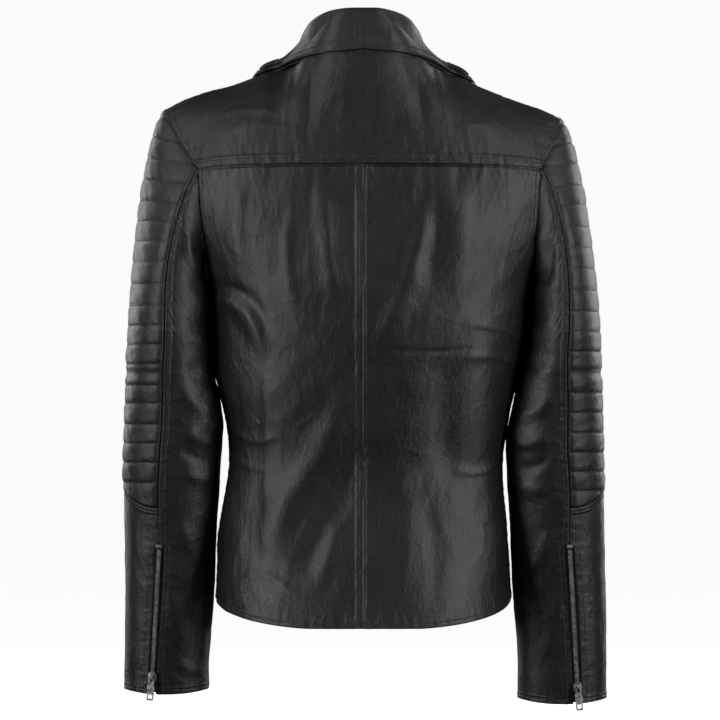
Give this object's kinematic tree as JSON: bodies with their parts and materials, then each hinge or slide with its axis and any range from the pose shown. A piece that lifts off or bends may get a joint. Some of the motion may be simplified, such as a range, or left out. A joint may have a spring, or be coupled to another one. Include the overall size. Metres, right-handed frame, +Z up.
{
  "type": "leather riding jacket",
  "caption": "Black leather riding jacket with fold-over collar, back yoke, quilted outer sleeves, slanted front zip, zipped hand pockets and cuff zips.",
  "frame": {"origin": "middle of the neck opening, level with the back neck seam, where a hanger or a wearer holds it", "axes": "+Z up along the back, -Y the front of the jacket, +X the wearer's left"},
  "size_m": [0.5209, 0.2427, 0.7492],
  "materials": {
    "leather": "black pebble-grain leather, soft sheen",
    "quilted_leather": "black leather sewn in padded channels",
    "lining": "dark satin lining",
    "zip_tape": "black woven tape",
    "zip_metal": "antique nickel",
    "label": "blank woven label"
  },
  "bodies": {
    "torso": {"back_panel_left": "leather", "back_panel_right": "leather", "back_yoke": "leather", "collar_fall": "leather", "collar_stand": "leather", "front_panel_left": "leather", "front_panel_right": "leather", "front_zip_stop": "zip_metal", "front_zip_tape": "zip_tape", "front_zip_teeth": "zip_metal", "hanger_loop": "zip_tape", "lining_back": "lining", "lining_front_left": "lining", "lining_front_right": "lining", "neck_label": "label", "pocket_bag_left": "lining", "pocket_bag_right": "lining", "pocket_welt_left": "leather", "pocket_welt_right": "leather", "pocket_zip_teeth_left": "zip_metal", "pocket_zip_teeth_right": "zip_metal"},
    "cuff_pull_left": {"cuff_zip_puller_left": "zip_metal"},
    "cuff_pull_right": {"cuff_zip_puller_right": "zip_metal"},
    "cuff_slider_left": {"cuff_zip_slider_left": "zip_metal"},
    "cuff_slider_right": {"cuff_zip_slider_right": "zip_metal"},
    "forearm_left": {"cuff_zip_stop_left": "zip_metal", "cuff_zip_tape_left": "zip_tape", "cuff_zip_teeth_left": "zip_metal", "forearm_outer_left": "leather", "forearm_under_left": "leather", "sleeve_lining_lower_left": "lining", "sleeve_quilt_lower_left": "quilted_leather"},
    "forearm_right": {"cuff_zip_stop_right": "zip_metal", "cuff_zip_tape_right": "zip_tape", "cuff_zip_teeth_right": "zip_metal", "forearm_outer_right": "leather", "forearm_under_right": "leather", "sleeve_lining_lower_right": "lining", "sleeve_quilt_lower_right": "quilted_leather"},
    "upper_sleeve_left": {"elbow_section_left": "quilted_leather", "sleeve_lining_upper_left": "lining", "sleeve_quilt_upper_left": "quilted_leather", "sleeve_under_upper_left": "leather"},
    "upper_sleeve_right": {"elbow_section_right": "quilted_leather", "sleeve_lining_upper_right": "lining", "sleeve_quilt_upper_right": "quilted_leather", "sleeve_under_upper_right": "leather"},
    "front_pull": {"front_zip_puller": "zip_metal"},
    "front_slider": {"front_zip_slider": "zip_metal"},
    "lapel_left": {"lapel_left": "leather", "lapel_snap_left": "zip_metal"},
    "lapel_right": {"lapel_right": "leather", "lapel_snap_right": "zip_metal"},
    "pocket_pull_left": {"pocket_puller_left": "zip_metal"},
    "pocket_pull_right": {"pocket_puller_right": "zip_metal"},
    "pocket_slider_left": {"pocket_slider_left": "zip_metal"},
    "pocket_slider_right": {"pocket_slider_right": "zip_metal"}
  },
  "joints": [
    {"name": "shoulder_left", "type": "hinge", "parent": "torso", "child": "upper_sleeve_left", "pos_m": [0.204, 0.003, -0.059], "axis": [0, -1, 0], "range_deg": [0, 30]},
    {"name": "elbow_left", "type": "hinge", "parent": "upper_sleeve_left", "child": "forearm_left", "pos_m": [0.206, -0.008, -0.42], "axis": [-1, 0, 0], "range_deg": [0, 60], "deforming": ["elbow_section_left"]},
    {"name": "cuff_zip_left", "type": "slide", "parent": "forearm_left", "child": "cuff_slider_left", "axis": [-0.056, 0.193, 0.9796], "range_m": [0, 0.13]},
    {"name": "lapel_fold_left", "type": "hinge", "parent": "torso", "child": "lapel_left", "pos_m": [0.049, -0.12413, -0.224], "axis": [-0.0964, -0.1743, -0.98], "range_deg": [0, 100]},
    {"name": "pocket_zip_left", "type": "slide", "parent": "torso", "child": "pocket_slider_left", "axis": [0.1991, 0.0682, -0.9776], "range_m": [0, 0.09]},
    {"name": "shoulder_right", "type": "hinge", "parent": "torso", "child": "upper_sleeve_right", "pos_m": [-0.201, 0.003, -0.068], "axis": [0, 1, 0], "range_deg": [0, 30]},
    {"name": "elbow_right", "type": "hinge", "parent": "upper_sleeve_right", "child": "forearm_right", "pos_m": [-0.206, -0.008, -0.42], "axis": [-1, 0, 0], "range_deg": [0, 60], "deforming": ["elbow_section_right"]},
    {"name": "cuff_zip_right", "type": "slide", "parent": "forearm_right", "child": "cuff_slider_right", "axis": [0.0585, 0.1916, 0.9797], "range_m": [0, 0.14]},
    {"name": "lapel_fold_right", "type": "hinge", "parent": "torso", "child": "lapel_right", "pos_m": [0.041, -0.12462, -0.224], "axis": [-0.6354, 0.137, 0.76], "range_deg": [0, 100]},
    {"name": "pocket_zip_right", "type": "slide", "parent": "torso", "child": "pocket_slider_right", "axis": [-0.1991, 0.0733, -0.9772], "range_m": [0, 0.09]},
    {"name": "front_zip", "type": "slide", "parent": "torso", "child": "front_slider", "axis": [-0.1673, 0.023, -0.9856], "range_m": [0, 0.37]},
    {"name": "cuff_pull_turn_left", "type": "hinge", "parent": "cuff_slider_left", "child": "cuff_pull_left", "pos_m": [0.22824, 0.00404, -0.66933], "axis": [0.9862, -0.1421, 0.0844], "range_deg": [-10, 154]},
    {"name": "pocket_pull_turn_left", "type": "hinge", "parent": "pocket_slider_left", "child": "pocket_pull_left", "pos_m": [0.08257, -0.11544, -0.45574], "axis": [-0.8747, -0.4374, -0.2087], "range_deg": [0, 165]},
    {"name": "cuff_pull_turn_right", "type": "hinge", "parent": "cuff_slider_right", "child": "cuff_pull_right", "pos_m": [-0.22995, 0.00228, -0.67932], "axis": [0.9869, 0.1368, -0.0857], "range_deg": [-10, 155]},
    {"name": "pocket_pull_turn_right", "type": "hinge", "parent": "pocket_slider_right", "child": "pocket_pull_right", "pos_m": [-0.08259, -0.1155, -0.45577], "axis": [-0.8743, 0.4372, 0.2109], "range_deg": [0, 165]},
    {"name": "front_pull_turn", "type": "hinge", "parent": "front_slider", "child": "front_pull", "pos_m": [0.04397, -0.12969, -0.23408], "axis": [-0.9859, 0, 0.1673], "range_deg": [-0.8, 164]}
  ]
}
